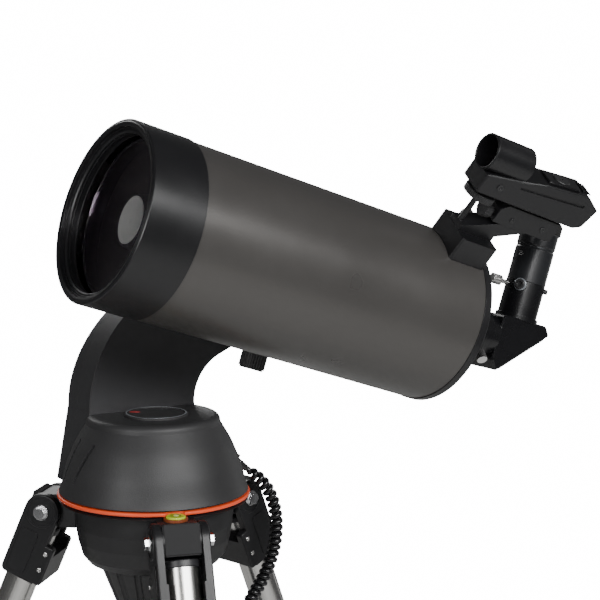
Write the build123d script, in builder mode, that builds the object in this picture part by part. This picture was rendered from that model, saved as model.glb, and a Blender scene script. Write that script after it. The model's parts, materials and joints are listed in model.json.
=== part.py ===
"""Maksutov telescope on a motorised single-arm mount and a folding tripod.

Units are millimetres. The origin is on the floor under the azimuth axis, +Z is up.
The tube points to -X and the arm stands on the +Y side of the tube.
"""
from build123d import *
import os
from math import acos, atan2, cos, pi, radians, sin, sqrt, tan

os.makedirs("parts", exist_ok=True)

# ---------------------------------------------------------------- driving dimensions
RING_Z = 790.0  # height of the base ring above the floor, legs retracted
RING_R = 80.5  # outside radius of the base ring
DOME_H = 66.0  # top of the dome above the ring
DOME_TOP_R = 55.0  # flat top of the dome
WALL = 3.0  # moulded shell thickness

LEG_ANGLES = (-105.0, 15.0, 135.0)  # directions of the three legs about Z
LEG_LEAN = radians(23.0)  # lean of each leg from the vertical, tripod open
HINGE_R = 92.0  # leg hinge, distance from the azimuth axis
HINGE_Z = RING_Z - 19.0
LUG_W = 31.0  # hinge lug of the tripod head, across
BRACKET_W = 45.0  # leg bracket, across
TUBE_R = 14.25  # upper leg tube
EXT_R = 11.0  # leg extension
TUBE_START = 17.0  # ends of the upper tube, measured along the leg from its hinge
TUBE_END = 705.0
COLLAR = (688.0, 728.0)  # clamp collar along the leg
EXT_START = 190.0  # inner end of the retracted extension
CLIP_S = 640.0  # brace clip along the leg
CLIP_OUT = 26.0  # brace pin, distance from the leg axis towards the middle
ARM_RISE = radians(30.0)  # slope of the open brace arms, up towards the middle
HUB_R = 42.0  # brace pins on the hub, distance from the azimuth axis
ARM_SLOT = 24.0  # play along each brace arm while the tripod folds
COLUMN_R = 11.0  # centre column
COLUMN_END = RING_Z - 462.0

TILT = radians(18.34)  # altitude of the tube at rest
OTA_Y = -82.0  # tube axis, offset from the azimuth axis
OTA_FRONT = Vector(-83.0, OTA_Y, RING_Z + 243.7)  # centre of the tube's front face
OTA_R = 72.0  # tube outside radius
CELL_R = 73.0  # front cell outside radius
CELL_L = 46.8  # front cell length
OTA_L = 329.9  # front face to rear face
APERTURE_R = 63.5  # corrector radius, 127 mm aperture
ALT_S = 214.0  # altitude axis, measured along the tube from its front face
BAFFLE_R = 20.0  # baffle tube the primary mirror slides on
NOSE_R = 31.75 / 2  # eyepiece and diagonal barrels
EYE_S = 416.0  # eyepiece axis, measured along the tube from its front face

ARM_Y = (20.0, 44.0, 63.0)  # arm: inner face, joint of its two halves, outer face
FINDER_ROLL = radians(33.0)  # finder, turned about the tube towards -Y

RUN = 0.05  # radial running clearance
GAP = 0.3  # clearance between neighbouring bodies

# ---------------------------------------------------------------- shared geometry
TUBE_BACK = Vector(cos(TILT), 0, -sin(TILT))  # along the tube, towards the eyepiece
TUBE_UP = Vector(sin(TILT), 0, cos(TILT))
ALT = OTA_FRONT + TUBE_BACK * ALT_S  # the altitude axis runs through here along Y
FOOT_S = HINGE_Z / cos(LEG_LEAN)  # where the leg axis meets the floor


def save(part, name):
    part.part.label = name
    export_step(part.part, f"parts/{name}.step")


def leg_axes(i):
    """Outward and tangential directions of leg i, and the direction down the leg."""
    a = radians(LEG_ANGLES[i])
    out = Vector(cos(a), sin(a), 0)
    return out, Vector(-sin(a), cos(a), 0), out * sin(LEG_LEAN) - Vector(0, 0, cos(LEG_LEAN))


def leg_plane(i, s=0.0):
    """Plane square to leg i: x tangential, y away from the middle, z down the leg."""
    out, tangent, down = leg_axes(i)
    hinge = out * HINGE_R + Vector(0, 0, HINGE_Z)
    return Plane(origin=hinge + down * s, x_dir=tangent, z_dir=down)


def leg_side(i, t=0.0):
    """Plane along leg i: x down the leg, y towards the middle, z tangential."""
    out, tangent, down = leg_axes(i)
    hinge = out * HINGE_R + Vector(0, 0, HINGE_Z)
    return Plane(origin=hinge + tangent * t, x_dir=down, z_dir=tangent)


def upright(i, t=0.0):
    """Vertical plane through the azimuth axis and leg i: x outward, y up."""
    out, tangent, _ = leg_axes(i)
    return Plane(origin=tangent * t, x_dir=out, z_dir=-tangent)


def tube_plane(s):
    """Plane square to the optical axis: x along +Y, y up from the axis, z to the rear."""
    return Plane(origin=OTA_FRONT + TUBE_BACK * s, x_dir=(0, 1, 0), z_dir=TUBE_BACK)


def tube_side(y=0.0):
    """Plane along the optical axis: x to the rear, y up from the axis, z along -Y."""
    return Plane(origin=OTA_FRONT + Vector(0, y, 0), x_dir=TUBE_BACK, z_dir=(0, -1, 0))


def finder_plane(n=0.0, lateral=0.0):
    """Plane on the finder's base: x to the rear, y across, z away from the tube."""
    up = TUBE_UP * cos(FINDER_ROLL) - Vector(0, 1, 0) * sin(FINDER_ROLL)
    across = Vector(0, 1, 0) * cos(FINDER_ROLL) + TUBE_UP * sin(FINDER_ROLL)
    origin = OTA_FRONT + up * n + across * lateral
    return Plane(origin=origin, x_dir=TUBE_BACK, z_dir=up)


def finder_side(lateral=0.0):
    """Plane along the finder: x to the rear, y away from the tube."""
    base = finder_plane(0, lateral)
    return Plane(origin=base.origin, x_dir=base.x_dir, z_dir=-base.y_dir)


def turned(plane, points, mode=Mode.ADD):
    """Solid of revolution about the plane's z axis from (radius, height) points."""
    side = Plane(origin=plane.origin, x_dir=plane.x_dir, z_dir=-plane.y_dir)
    with BuildSketch(side) as section:
        with BuildLine():
            Polyline(*points, close=True)
        make_face()
    revolve(section.sketch, axis=Axis(plane.origin, plane.z_dir), mode=mode)


# ---------------------------------------------------------------- tripod head
def tripod_head():
    """Bowl under the mount: deck with a bearing bore, hollow bowl and three hinge lugs."""
    with BuildPart() as head:
        turned(
            Plane.XY.offset(RING_Z),
            [(11.2, -2), (72, -2), (79, -5), (67, -8), (65.8, -25), (63.7, -38), (60, -51), (55, -57)]
            + [(46, -60.5), (COLUMN_R, -60.5), (COLUMN_R, -56), (44, -56), (56, -48), (62, -25), (63, -9)]
            + [(20, -9), (20, -22), (11.2, -22)],
        )
        for i in range(3):
            with BuildSketch(upright(i, LUG_W / 2)):
                with Locations((HINGE_R, HINGE_Z)):
                    Circle(14.5)
                with Locations(((64.5 + HINGE_R) / 2, HINGE_Z + 0.5)):
                    Rectangle(HINGE_R - 64.5, 28)
            extrude(amount=LUG_W)
            with BuildSketch(leg_side(i, -LUG_W)):
                Circle(4)
            extrude(amount=2 * LUG_W, mode=Mode.SUBTRACT)
        with BuildSketch(bubble_plane(-4.5)):
            Circle(8)
        extrude(amount=10, mode=Mode.SUBTRACT)
    return head


def base_ring():
    """Coloured trim ring round the deck."""
    with BuildPart() as ring:
        with BuildSketch(Plane.XY.offset(RING_Z - 1.9)):
            Circle(RING_R)
            Circle(72.2, mode=Mode.SUBTRACT)
        extrude(amount=3)
        fillet(ring.edges().filter_by(GeomType.CIRCLE).sort_by(SortBy.RADIUS)[-2:], 1.1)
        with BuildSketch(bubble_plane(2)):
            Circle(8.3)
        extrude(amount=-6, mode=Mode.SUBTRACT)
    return ring


def bubble_plane(height):
    """Plane of the bubble level, between the ring and the front leg."""
    a = radians(LEG_ANGLES[0])
    return Plane(origin=Vector(cos(a) * 82, sin(a) * 82, RING_Z + height), z_dir=(0, 0, 1))


def bubble_level():
    """Round spirit level on the lug of the front leg."""
    with BuildPart() as level:
        with BuildSketch(bubble_plane(-4.5)):
            Circle(8)
        extrude(amount=3.9)
        fillet(level.edges().sort_by(Axis.Z)[-1:], 1)
    return level


def azimuth_gear():
    """Fixed spur gear that the azimuth motor walks round."""
    teeth = 60
    with BuildPart() as gear:
        with BuildSketch(Plane.XY.offset(RING_Z - 2)):
            Circle(38)
            with PolarLocations(38.8, teeth):
                Rectangle(3.4, 1.9)
            Circle(16, mode=Mode.SUBTRACT)
        extrude(amount=4)
    return gear


def centre_column():
    """Fluted cone under the bowl and the column that guides the tray."""
    top, cone_end, cone_r = RING_Z - 60.5, RING_Z - 136, 16.0
    with BuildPart() as column:
        with BuildSketch(Plane.XY.offset(top)):
            Circle(45.5)
        with BuildSketch(Plane.XY.offset(cone_end)):
            Circle(cone_r)
        loft()
        taper = atan2(45.5 - cone_r, top - cone_end)
        for k in range(16):
            a = 2 * pi * k / 16
            start = Vector(cos(a) * 46.5, sin(a) * 46.5, top)
            down = Vector(-cos(a) * sin(taper), -sin(a) * sin(taper), -cos(taper))
            with BuildSketch(Plane(origin=start, z_dir=down)):
                Circle(3.2)
            extrude(amount=74, mode=Mode.SUBTRACT)
        with BuildSketch(Plane.XY.offset(COLUMN_END)):
            Circle(COLUMN_R)
        extrude(amount=cone_end - COLUMN_END + 1)
        chamfer(column.edges().sort_by(Axis.Z)[:1], 1.5)
    return column


def hinge_bolts():
    """One hexagon bolt with its nut through each leg hinge."""
    half = BRACKET_W / 2 + 0.4
    with BuildPart() as bolts:
        for i in range(3):
            with BuildSketch(leg_side(i, -half)):
                Circle(4)
            extrude(amount=2 * half)
            for t, direction in ((-half, -1), (half, 1)):
                with BuildSketch(leg_side(i, t)):
                    Circle(6.6)
                extrude(amount=1.2 * direction)
                with BuildSketch(leg_side(i, t + 1.2 * direction)):
                    RegularPolygon(5.3, 6)
                extrude(amount=3.8 * direction)
    return bolts


# ---------------------------------------------------------------- legs
def leg_bracket(i):
    """Forked bracket: two cheeks on the hinge and a channel that holds the leg tube."""
    with BuildPart() as bracket:
        with BuildSketch(leg_side(i, -BRACKET_W / 2)):
            Circle(15.5)
            with Locations((31, 0)):
                Rectangle(62, 31)
            with Locations((43, 16.5)):
                RectangleRounded(36, 12, 3)
        extrude(amount=BRACKET_W)
        across = Axis(leg_side(i).origin, leg_side(i).z_dir)
        along = Axis(leg_side(i).origin, leg_side(i).x_dir)
        inward = Axis(leg_side(i).origin, leg_side(i).y_dir)
        fillet(bracket.edges().filter_by(across).sort_by(along)[-2:].sort_by(inward)[:1], 5)
        outer = bracket.faces().sort_by(across)
        fillet(outer[-1].edges() + outer[0].edges(), 1.6)
        with BuildSketch(leg_plane(i, -20)):
            Rectangle(LUG_W + 2 * GAP, 60)
        extrude(amount=54, mode=Mode.SUBTRACT)
        with BuildSketch(leg_plane(i, 30)):
            Circle(TUBE_R + 0.02)
            with Locations((0, 12)):
                Rectangle(2 * TUBE_R, 24)
        extrude(amount=40, mode=Mode.SUBTRACT)
        with BuildSketch(leg_side(i, -BRACKET_W)):
            Circle(4 + RUN)
        extrude(amount=2 * BRACKET_W, mode=Mode.SUBTRACT)
    return bracket


def leg_tube(i):
    """Steel upper tube."""
    with BuildPart() as tube:
        with BuildSketch(leg_plane(i, TUBE_START)):
            Circle(TUBE_R)
            Circle(TUBE_R - 1.5, mode=Mode.SUBTRACT)
        extrude(amount=TUBE_END - TUBE_START)
    return tube


def leg_collar(i):
    """Clamp collar at the tube's end and, higher up, the clip that carries a brace arm."""
    start, end = COLLAR
    with BuildPart() as collar:
        with BuildSketch(leg_plane(i, start)):
            Circle(19)
        extrude(amount=end - start)
        fillet(collar.edges().filter_by(GeomType.CIRCLE), 2)
        with BuildSketch(leg_side(i)):
            with Locations((end - 13, -17)):
                Rectangle(18, 16)
        extrude(amount=9, both=True)
        with BuildSketch(leg_plane(i, start - 1)):
            Circle(TUBE_R + 0.02)
        extrude(amount=TUBE_END - start + 1.2, mode=Mode.SUBTRACT)
        with BuildSketch(leg_plane(i, TUBE_END)):
            Circle(EXT_R + RUN)
        extrude(amount=30, mode=Mode.SUBTRACT)
        with BuildSketch(knob_plane(i, 0)):
            Circle(3 + RUN)
        extrude(amount=30, mode=Mode.SUBTRACT)
        with BuildSketch(leg_plane(i, CLIP_S - 15)):
            Circle(18)
            Circle(TUBE_R + 0.02, mode=Mode.SUBTRACT)
        extrude(amount=30)
        for t in (-7.5, 4):
            with BuildSketch(leg_side(i, t)):
                with Locations((CLIP_S, CLIP_OUT)):
                    Circle(7)
                with Locations((CLIP_S, CLIP_OUT - 4)):
                    Rectangle(14, 8)
            extrude(amount=3.5)
        with BuildSketch(leg_side(i, -9)):
            with Locations((CLIP_S, CLIP_OUT)):
                Circle(2.5)
        extrude(amount=18)
    return collar


def knob_plane(i, height):
    """Plane square to the clamp screw of leg i, height measured out from the leg axis."""
    _, tangent, _ = leg_axes(i)
    base = leg_plane(i, COLLAR[1] - 13)
    return Plane(origin=base.origin + base.y_dir * height, x_dir=tangent, z_dir=base.y_dir)


def collar_knob(i):
    """Lobed clamp screw of a leg collar."""
    with BuildPart() as knob:
        with BuildSketch(knob_plane(i, EXT_R + GAP)):
            Circle(3)
        extrude(amount=16)
        with BuildSketch(knob_plane(i, 26)):
            Circle(12.5)
            with PolarLocations(14.5, 5):
                Circle(4.2, mode=Mode.SUBTRACT)
        extrude(amount=12)
        fillet(knob.faces().sort_by(Axis(leg_plane(i).origin, knob_plane(i, 0).z_dir))[-1].edges(), 2)
    return knob


def leg_extension(i):
    """Sliding lower tube with its foot, cut level with the floor."""
    with BuildPart() as extension:
        with BuildSketch(leg_plane(i, EXT_START)):
            Circle(EXT_R)
            Circle(EXT_R - 1.3, mode=Mode.SUBTRACT)
        extrude(amount=FOOT_S - 28 - EXT_START)
        with BuildSketch(leg_plane(i, FOOT_S - 40)):
            Circle(EXT_R + 3)
            Circle(EXT_R, mode=Mode.SUBTRACT)
        extrude(amount=12)
        with BuildSketch(leg_plane(i, FOOT_S - 28)):
            Circle(EXT_R + 3)
        extrude(amount=40)
        split(bisect_by=Plane.XY, keep=Keep.TOP)
    return extension


# ---------------------------------------------------------------- brace and tray
def clip_point():
    """Brace pin on a leg, in the leg's own upright plane: distance out and height."""
    out = HINGE_R + CLIP_S * sin(LEG_LEAN) - CLIP_OUT * cos(LEG_LEAN)
    return out, HINGE_Z - CLIP_S * cos(LEG_LEAN) - CLIP_OUT * sin(LEG_LEAN)


CLIP_X, CLIP_Z = clip_point()
HUB_Z = CLIP_Z + (CLIP_X - HUB_R) * tan(ARM_RISE)
ARM_L = (CLIP_X - HUB_R) / cos(ARM_RISE)
TRAY_Z = HUB_Z + 30  # underside of the tray plate


def brace_arm(i):
    """Flat arm from the leg clip to the hub, slotted where it meets the hub pin."""
    out, tangent, _ = leg_axes(i)
    along = Vector(0, 0, sin(ARM_RISE)) - out * cos(ARM_RISE)
    pin = out * CLIP_X + Vector(0, 0, CLIP_Z)
    side = Plane(origin=pin - tangent * 3.5, x_dir=along, z_dir=tangent)
    with BuildPart() as arm:
        with BuildSketch(side):
            SlotCenterPoint((ARM_L / 2, 0), (ARM_L, 0), 15)
            Circle(2.5 + RUN, mode=Mode.SUBTRACT)
            SlotCenterPoint((ARM_L - ARM_SLOT / 2 + 0.5, 0), (ARM_L + 0.5, 0), 7, mode=Mode.SUBTRACT)
        extrude(amount=7)
    return arm


def accessory_tray():
    """Hub that slides on the column, with three forks for the brace arms and a tray on top."""
    with BuildPart() as tray:
        with BuildSketch(Plane.XY.offset(HUB_Z - 14)):
            Circle(20)
        extrude(amount=46)
        for i in range(3):
            for t in (-8.5, 4.5):
                with BuildSketch(upright(i, t + 4)):
                    with Locations((HUB_R, HUB_Z)):
                        Circle(7)
                    with Locations(((16 + HUB_R) / 2, HUB_Z - 1)):
                        Rectangle(HUB_R - 16, 12)
                extrude(amount=4)
            with BuildSketch(upright(i, 9.5)):
                with Locations((HUB_R, HUB_Z)):
                    Circle(2)
            extrude(amount=19)
        with BuildSketch(Plane.XY.offset(TRAY_Z)):
            tray_outline(0)
        extrude(amount=9)
        with BuildSketch(Plane.XY.offset(TRAY_Z + 3)):
            tray_outline(-3)
            Circle(24, mode=Mode.SUBTRACT)
        extrude(amount=8, mode=Mode.SUBTRACT)
        for i in range(3):
            a = LEG_ANGLES[i] + 60
            with BuildSketch(Plane.XY.offset(TRAY_Z - 1)):
                with PolarLocations(90, 1, start_angle=a):
                    Circle(NOSE_R + 0.4)
                with PolarLocations(60, 1, start_angle=a - 22):
                    Circle(6)
                with PolarLocations(60, 1, start_angle=a + 22):
                    Circle(6)
            extrude(amount=12, mode=Mode.SUBTRACT)
        with BuildSketch(Plane.XY.offset(HUB_Z - 20)):
            Circle(COLUMN_R + RUN)
        extrude(amount=80, mode=Mode.SUBTRACT)
    return tray


def tray_outline(offset_by):
    """Round plate with a bay at each leg."""
    Circle(122 + offset_by)
    with PolarLocations(150, 3, start_angle=LEG_ANGLES[0]):
        Circle(58 - offset_by, mode=Mode.SUBTRACT)


# ---------------------------------------------------------------- rotating base
def arm_outline(shrink=0.0):
    """Outline of the arm, x along +X and y up: bowed front, hollow back, round head."""
    front_c, front_r = Vector(61, RING_Z + 68), 110 - shrink
    head_c, head_r = Vector(ALT.X, ALT.Z), 44 - shrink
    back_c, back_r = Vector(92.5, RING_Z + 68), 43 + shrink
    leave = radians(46)
    front_end = front_c + Vector(-cos(leave), sin(leave)) * front_r
    between = head_c - back_c
    turn = atan2(between.Y, between.X)
    half = sqrt(1 - ((back_r + head_r) / between.length) ** 2)
    back_angle = turn + atan2(half, (back_r + head_r) / between.length)
    back_end = back_c + Vector(cos(back_angle), sin(back_angle)) * back_r
    head_start = head_c - Vector(cos(back_angle), sin(back_angle)) * head_r
    head_top = head_c + Vector(-sin(radians(8)), cos(radians(8))) * head_r
    front_low = front_c - Vector(front_r, 0)
    back_low = back_c - Vector(back_r, 0)
    back_mid = back_c + Vector(cos((pi + back_angle) / 2), sin((pi + back_angle) / 2)) * back_r
    front_mid = front_c + Vector(-cos(leave / 2), sin(leave / 2)) * front_r
    with BuildSketch() as outline:
        with BuildLine():
            Line((-60 + shrink, RING_Z + 5.6 + shrink), front_low)
            ThreePointArc(front_low, front_mid, front_end)
            arrive = (cos(radians(8)), sin(radians(8)))
            Spline(front_end, head_top, tangents=[(sin(leave), cos(leave)), arrive])
            ThreePointArc(head_top, head_c + Vector(head_r, 0), head_start)
            Line(head_start, back_end)
            ThreePointArc(back_end, back_mid, back_low)
            Polyline(back_low, (54 - shrink, RING_Z + 5.6 + shrink), (-60 + shrink, RING_Z + 5.6 + shrink))
        make_face()
    return outline.sketch


def arm_side_profile(inset):
    """Arm seen from the front, x along +Y: flat inner face, outer face drawn in upwards."""
    inner, outer = ARM_Y[0], ARM_Y[2] - inset
    top, low, high = RING_Z + 240, RING_Z + 60, RING_Z + 190
    with BuildSketch() as profile:
        with BuildLine():
            Polyline((outer, low), (outer, RING_Z - 5), (inner, RING_Z - 5), (inner, top))
            Polyline((inner, top), (outer - 11, top), (outer - 11, high))
            Spline((outer - 11, high), (outer, low), tangents=[(0, -1), (0, -1)])
        make_face()
    return profile.sketch


def arm_solid():
    """Whole arm as one closed body, before it is hollowed and parted."""
    with BuildPart() as arm:
        with BuildSketch(Plane(origin=(0, ARM_Y[0], 0), x_dir=(1, 0, 0), z_dir=(0, -1, 0))):
            add(arm_outline())
        extrude(amount=-(ARM_Y[2] - ARM_Y[0]))
        with BuildSketch(Plane(origin=(-90, 0, 0), x_dir=(0, 1, 0), z_dir=(1, 0, 0))):
            add(arm_side_profile(0))
        extrude(amount=300, mode=Mode.INTERSECT)
    return arm.part


def arm_pocket():
    """Space inside the arm, clear of its walls."""
    with BuildPart() as pocket:
        with BuildSketch(Plane(origin=(0, ARM_Y[0] + WALL, 0), x_dir=(1, 0, 0), z_dir=(0, -1, 0))):
            add(arm_outline(WALL))
        extrude(amount=-(ARM_Y[2] - ARM_Y[0] - WALL))
        with BuildSketch(Plane(origin=(-90, 0, 0), x_dir=(0, 1, 0), z_dir=(1, 0, 0))):
            add(arm_side_profile(WALL))
        extrude(amount=300, mode=Mode.INTERSECT)
    return pocket.part


def dome_curve(inset):
    """Outline of the dome's flank, (radius, height above the ring), top first."""
    flank = [(DOME_TOP_R + 1, 59), (61, 50.5), (65.7, 42), (69.3, 33.5), (72.6, 25), (77.2, 7.6), (79, 2.5)]
    return [(radius - inset, RING_Z + height) for radius, height in flank]


def dome_solid(inset, lift=0.0):
    """Solid with the dome's outline, each face moved inwards by the inset."""
    top = RING_Z + DOME_H - inset
    flank = dome_curve(inset)
    foot = flank[-1][1] - lift
    with BuildPart() as solid:
        with BuildSketch(Plane.XZ) as section:
            with BuildLine():
                Polyline((0, foot), (0, top), (DOME_TOP_R - inset, top), flank[0])
                Spline(*flank)
                if lift:
                    Line(flank[-1], (flank[-1][0], foot))
                Line((flank[-1][0], foot), (0, foot))
            make_face()
        revolve(section.sketch, axis=Axis.Z)
    return solid.part


def dome_point(angle, height, radius):
    """Point on the dome in polar form, height above the ring."""
    a = radians(angle)
    return Vector(cos(a) * radius, sin(a) * radius, RING_Z + height)


GROOVES = ((-167.0, -177.0), (169.5, 165.7))  # directions of each flank groove's top and bottom
SWITCH = Plane(
    origin=dome_point(10, 30, 60),
    x_dir=(0, 0, 1),
    z_dir=dome_point(10, 0, 1) - dome_point(10, 0, 0),
)
CORD_START = Vector(84.3, -8.9, RING_Z + 11)  # where the curly cord leaves its plug
CORD_NEXT = Vector(96.8, -12.0, RING_Z + 1.2)
PORT = Plane(origin=CORD_START, z_dir=CORD_NEXT - CORD_START)
COVER_C = (-1.0, -7.0)  # battery cover, centre
COVER_R = 26.5


def dome():
    """Moulded dome over the electronics, cut away where the arm stands."""
    with BuildPart() as shell:
        add(dome_solid(0))
        fillet(shell.edges().filter_by(GeomType.CIRCLE).sort_by(Axis.Z)[-1:], 5.5)
        add(dome_solid(WALL, 2), mode=Mode.SUBTRACT)
        add(arm_solid(), mode=Mode.SUBTRACT)
        with BuildSketch(Plane.XY.offset(RING_Z + DOME_H - 10)):
            with Locations(COVER_C):
                Circle(COVER_R - 1.7)
        extrude(amount=20, mode=Mode.SUBTRACT)
        with BuildSketch(SWITCH):
            Rectangle(21, 14)
        extrude(amount=30, mode=Mode.SUBTRACT)
        with BuildSketch(PORT.offset(-26)):
            RectangleRounded(15, 13, 2)
        extrude(amount=40, mode=Mode.SUBTRACT)
        for top, bottom in GROOVES:
            start, end = dome_point(top, 47, 62.8), dome_point(bottom, 17, 75)
            middle = (start + end) * 0.5
            outward = Vector(middle.X, middle.Y, 0).normalized() + Vector(0, 0, 0.36)
            along = (end - start).normalized()
            square = along.cross(outward).cross(along)
            with BuildSketch(Plane(origin=middle - outward * 1.2, x_dir=along, z_dir=square)):
                SlotOverall(37, 3.6)
            extrude(amount=8, mode=Mode.SUBTRACT)
    return shell


def battery_cover():
    """Round cover over the battery compartment."""
    with BuildPart() as cover:
        with BuildSketch(Plane.XY.offset(RING_Z + DOME_H + 0.1)):
            with Locations(COVER_C):
                Circle(COVER_R)
        extrude(amount=2)
        chamfer(cover.edges().filter_by(GeomType.CIRCLE).sort_by(Axis.Z)[-1:], 0.8)
        with BuildSketch(Plane.XY.offset(RING_Z + DOME_H + 2.1)):
            with Locations(COVER_C):
                Circle(COVER_R - 2.5)
        extrude(amount=-0.8, mode=Mode.SUBTRACT)
        with BuildSketch(Plane.XY.offset(RING_Z + DOME_H + 0.1)):
            with Locations(COVER_C):
                Circle(COVER_R - 2)
                Circle(COVER_R - 4, mode=Mode.SUBTRACT)
        extrude(amount=-4)
    return cover


def battery_pack():
    """Holder with eight cells, under the battery cover."""
    with BuildPart() as pack:
        with BuildSketch(Plane.XY.offset(RING_Z + 22)):
            with Locations((-1, -10)):
                RectangleRounded(52, 38, 3)
        extrude(amount=4)
        for level in (33.2, 47.6):
            for x in (-19, -7, 5, 17):
                with BuildSketch(Plane(origin=(x, 8, RING_Z + level), x_dir=(1, 0, 0), z_dir=(0, -1, 0))):
                    Circle(7.25)
                extrude(amount=36)
    return pack


def control_board():
    """Main circuit board, upright beside the arm, with its chips."""
    with BuildPart() as board:
        with BuildSketch(Plane(origin=(-5, 13.5, RING_Z + 32.5), x_dir=(1, 0, 0), z_dir=(0, 1, 0))):
            Rectangle(80, 45)
        extrude(amount=1.6)
        with BuildSketch(Plane(origin=(-5, 15.1, RING_Z + 32.5), x_dir=(1, 0, 0), z_dir=(0, 1, 0))):
            with Locations((-22, 6), (4, 8), (24, -6)):
                Rectangle(13, 13)
            with Locations((-24, -14), (-6, -12)):
                Rectangle(9, 6)
        extrude(amount=2.4)
    return board


MOTOR_AT = (40.0, -23.0)  # azimuth motor, beside the fixed gear
WORM_X = ALT.X - 38.4  # altitude worm, in front of its wheel
WORM_Y = 35.0


def turntable():
    """Plate that carries the rotating base, with the azimuth shaft below it."""
    with BuildPart() as plate:
        with BuildSketch(Plane.XY.offset(RING_Z + 2.6)):
            Circle(74.8)
        extrude(amount=3)
        with BuildSketch(Plane.XY.offset(RING_Z - 24)):
            Circle(11.2 - RUN)
        extrude(amount=27)
        with BuildSketch(Plane.XY.offset(RING_Z + 5)):
            Circle(18)
        extrude(amount=4)
        with BuildSketch(Plane.XY.offset(RING_Z)):
            with Locations(MOTOR_AT):
                Circle(7.5)
        extrude(amount=10, mode=Mode.SUBTRACT)
        with BuildSketch(Plane.XY.offset(RING_Z - 30)):
            Circle(5)
        extrude(amount=60, mode=Mode.SUBTRACT)
        with BuildSketch(Plane.XY.offset(RING_Z - 24)):
            Circle(17)
            Circle(5, mode=Mode.SUBTRACT)
        extrude(amount=1.4)
    return plate


def gear_motors():
    """The two geared motors: azimuth upright in the dome, altitude in the arm with its worm."""
    with BuildPart() as motors:
        with BuildSketch(Plane.XY.offset(RING_Z + 6)):
            with Locations(MOTOR_AT):
                Circle(13)
        extrude(amount=36)
        with BuildSketch(Plane.XY.offset(RING_Z - 1.6)):
            with Locations(MOTOR_AT):
                Circle(4.6)
        extrude(amount=9)
        with BuildSketch(Plane.XY.offset(RING_Z + 118)):
            with Locations((WORM_X, WORM_Y)):
                Circle(9.6)
        extrude(amount=30)
        with BuildSketch(Plane.XY.offset(RING_Z + 147)):
            with Locations((WORM_X, WORM_Y)):
                Circle(5)
        extrude(amount=53)
    return motors


def power_switch():
    """Rocker of the power switch."""
    with BuildPart() as rocker:
        with BuildSketch(SWITCH.offset(6)):
            Rectangle(19, 12)
        extrude(amount=8)
        fillet(rocker.edges(), 1)
    return rocker


def cord_plug():
    """Modular plug of the hand control's cord, with a tapered strain relief."""
    with BuildPart() as plug:
        with BuildSketch(PORT.offset(-25)):
            Rectangle(11.6, 8)
        extrude(amount=13)
        with BuildSketch(PORT.offset(-12.2)):
            Circle(3.9)
        with BuildSketch(PORT):
            Circle(2.7)
        loft()
    return plug


# ---------------------------------------------------------------- arm
def alt_plane(y):
    """Plane square to the altitude axis, z along +Y."""
    return Plane(origin=(ALT.X, y, ALT.Z), x_dir=(-1, 0, 0), z_dir=(0, 1, 0))


def arm_half(low, high):
    """Slab of the hollowed arm between two depths."""
    with BuildPart() as half:
        add(arm_solid())
        add(arm_pocket(), mode=Mode.SUBTRACT)
        with BuildSketch(Plane(origin=(0, low, 0), x_dir=(-1, 0, 0), z_dir=(0, 1, 0))):
            with Locations((-50, RING_Z + 110)):
                Rectangle(400, 400)
        extrude(amount=high - low, mode=Mode.INTERSECT)
    return half.part


def fork_arm():
    """Inner half of the arm: the face towards the tube, with the altitude bearing."""
    with BuildPart() as inner:
        add(arm_half(ARM_Y[0], ARM_Y[1]))
        with BuildSketch(alt_plane(ARM_Y[0])):
            Circle(20)
        extrude(amount=9)
        with BuildSketch(alt_plane(ARM_Y[0] - 1)):
            Circle(14 + RUN)
        extrude(amount=12, mode=Mode.SUBTRACT)
    return inner


def arm_cover():
    """Outer half of the arm."""
    with BuildPart() as cover:
        add(arm_half(ARM_Y[1], ARM_Y[2] + 1))
    return cover


# ---------------------------------------------------------------- altitude drive and saddle
def altitude_shaft():
    """Altitude shaft with its worm wheel inside the arm's head."""
    with BuildPart() as shaft:
        with BuildSketch(alt_plane(11)):
            Circle(14)
        extrude(amount=34)
        with BuildSketch(alt_plane(31)):
            Circle(31.5)
            with PolarLocations(32, 48):
                Rectangle(1.8, 2)
        extrude(amount=8)
    return shaft


BAR_W = 44.0  # dovetail bar, across its wide face
BAR_LOW, BAR_HIGH = OTA_R - 3, OTA_R + 14  # bar, measured out from the optical axis


def saddle():
    """Disc on the altitude shaft with two jaws round the dovetail bar."""
    with BuildPart() as clamp:
        with BuildSketch(alt_plane(4.3)):
            Circle(38)
        extrude(amount=14.7)
        fillet(clamp.edges().filter_by(GeomType.CIRCLE).sort_by(Axis.Y)[-1:], 2)
        with BuildSketch(alt_plane(10)):
            Circle(14)
        extrude(amount=20, mode=Mode.SUBTRACT)
        with BuildSketch(tube_plane(ALT_S - 35)):
            for side in (-1, 1):
                with BuildLine():
                    Polyline(
                        (BAR_HIGH + 0.5, side * 12),
                        (BAR_HIGH + 0.5, side * 31),
                        (BAR_HIGH - 10, side * 31),
                        (BAR_HIGH - 10, side * (BAR_W / 2 - 3.5)),
                        (BAR_HIGH + 0.3, side * (BAR_W / 2 + 0.4)),
                        (BAR_HIGH + 0.3, side * 12),
                        close=True,
                    )
                make_face()
        extrude(amount=70)
        with BuildSketch(saddle_screw_plane(-16)):
            Circle(4 + RUN)
        extrude(amount=20, mode=Mode.SUBTRACT)
    return clamp


def saddle_screw_plane(height):
    """Plane square to the saddle's clamp screw, height measured up from the optical axis."""
    axis_point = ALT + TUBE_UP * height
    return Plane(origin=Vector(axis_point.X, -1.0, axis_point.Z), x_dir=(0, 1, 0), z_dir=-TUBE_UP)


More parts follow.
